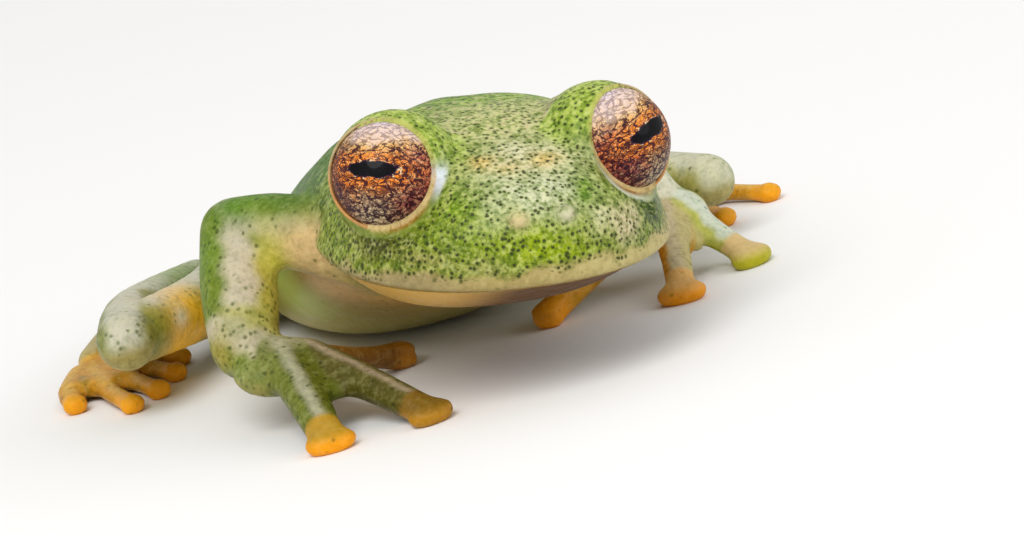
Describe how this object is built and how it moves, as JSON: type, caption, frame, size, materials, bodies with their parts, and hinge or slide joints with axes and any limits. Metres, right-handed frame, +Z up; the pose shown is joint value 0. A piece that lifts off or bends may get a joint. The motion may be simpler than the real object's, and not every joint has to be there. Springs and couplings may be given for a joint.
{
  "type": "glass frog",
  "caption": "Life-size model of a small tree frog at rest: broad head with forward-facing bulging eyes, spread fingers with disc tips, hind legs folded beside a slender body.",
  "frame": {"origin": "middle of the outer box, on the floor the frog sits on", "axes": "the frog faces -Y, its left side is +X, and +Z is up"},
  "size_m": [0.0222, 0.0266, 0.0083],
  "materials": {
    "skin": "thin moist skin with a soft sheen",
    "eye": "wet and glossy"
  },
  "bodies": {
    "root": {"head": "skin", "lower_jaw": "skin", "chest": "skin", "belly": "skin", "rump": "skin", "upper_arm_left": "skin", "forearm_left": "skin", "hand_left": "skin", "finger_1_left": "skin", "finger_2_left": "skin", "finger_3_left": "skin", "finger_4_left": "skin", "thigh_left": "skin", "shank_left": "skin", "tarsus_left": "skin", "foot_left": "skin", "toe_1_left": "skin", "toe_2_left": "skin", "toe_3_left": "skin", "toe_4_left": "skin", "toe_5_left": "skin", "upper_arm_right": "skin", "forearm_right": "skin", "hand_right": "skin", "finger_1_right": "skin", "finger_2_right": "skin", "finger_3_right": "skin", "finger_4_right": "skin", "thigh_right": "skin", "shank_right": "skin", "tarsus_right": "skin", "foot_right": "skin", "toe_1_right": "skin", "toe_2_right": "skin", "toe_3_right": "skin", "toe_4_right": "skin", "toe_5_right": "skin", "eye_left": "eye", "eye_right": "eye"}
  },
  "joints": []
}
